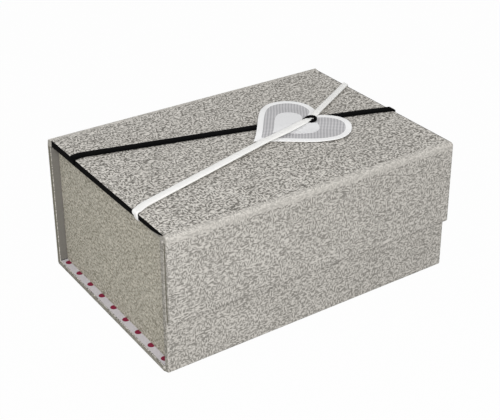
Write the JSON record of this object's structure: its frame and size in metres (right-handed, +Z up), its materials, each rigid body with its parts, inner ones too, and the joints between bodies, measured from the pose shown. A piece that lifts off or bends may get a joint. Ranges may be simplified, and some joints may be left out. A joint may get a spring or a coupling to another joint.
{
  "type": "magnetic gift box",
  "caption": "Book-style rigid gift box with a hinged lid, a magnetic front flap, an inner tray, crossed elastic bands and a swivelling heart tag.",
  "frame": {"origin": "middle of the underside of the closed case's base, on the surface that it rests on", "axes": "+X along the box to the right, -Y out of the front past the flap, +Z up through the lid"},
  "size_m": [0.1604, 0.1131, 0.074],
  "materials": {
    "greyboard": "raw grey board, matt",
    "linen_paper": "warm grey paper, printed linen weave",
    "tray_paper": "olive grey paper, fine printed weave",
    "dotted_paper": "pale lilac grey paper with small wine red dots",
    "black_paper": "black paper edging",
    "black_elastic": "black woven elastic",
    "white_elastic": "white woven elastic",
    "tag_card": "pale grey card with a fine check and a plain border",
    "tag_label": "plain off-white paper",
    "magnet_nickel": "nickel plated",
    "plate_steel": "tin plated"
  },
  "bodies": {
    "case": {"base_board": "greyboard", "base_cover": "linen_paper", "base_lining": "dotted_paper", "spine_board": "greyboard", "spine_cover": "linen_paper", "spine_lining": "dotted_paper", "front_board": "greyboard", "front_cover": "linen_paper", "front_lining": "dotted_paper", "base_spine_fold": "linen_paper", "base_front_fold": "linen_paper", "lid_fold": "linen_paper", "catch_plate_left": "plate_steel", "catch_plate_right": "plate_steel", "tray_left_board": "greyboard", "tray_left_cover": "tray_paper", "tray_left_lining": "dotted_paper", "tray_right_board": "greyboard", "tray_right_cover": "tray_paper", "tray_right_lining": "dotted_paper", "tray_back_board": "greyboard", "tray_back_cover": "tray_paper", "tray_back_lining": "dotted_paper", "tray_front_board": "greyboard", "tray_front_cover": "tray_paper", "tray_front_lining": "dotted_paper", "tray_floor_board": "greyboard", "tray_floor_lining": "dotted_paper"},
    "lid": {"lid_board": "greyboard", "lid_cover": "linen_paper", "lid_lining": "dotted_paper", "flap_fold": "linen_paper", "lid_edging_left": "black_paper", "lid_edging_right": "black_paper", "black_elastic": "black_elastic", "white_elastic": "white_elastic", "black_left_patch": "dotted_paper", "black_right_patch": "dotted_paper", "white_left_patch": "dotted_paper", "white_right_patch": "dotted_paper"},
    "flap": {"flap_board": "greyboard", "flap_cover": "linen_paper", "flap_lining": "dotted_paper", "magnet_left": "magnet_nickel", "magnet_right": "magnet_nickel"},
    "tag": {"tag_card": "tag_card", "tag_label": "tag_label"}
  },
  "joints": [
    {"name": "lid_hinge", "type": "hinge", "parent": "case", "child": "lid", "pos_m": [0, 0.055, 0.07], "axis": [-1, 0, 0], "range_deg": [0, 180]},
    {"name": "flap_hinge", "type": "hinge", "parent": "lid", "child": "flap", "pos_m": [0, -0.0581, 0.07], "axis": [-1, 0, 0], "range_deg": [0, 90]},
    {"name": "tag_swivel", "type": "hinge", "parent": "lid", "child": "tag", "pos_m": [0.037, 0.001, 0.07125], "axis": [0, 0, 1], "range_deg": [-15, 15]}
  ]
}
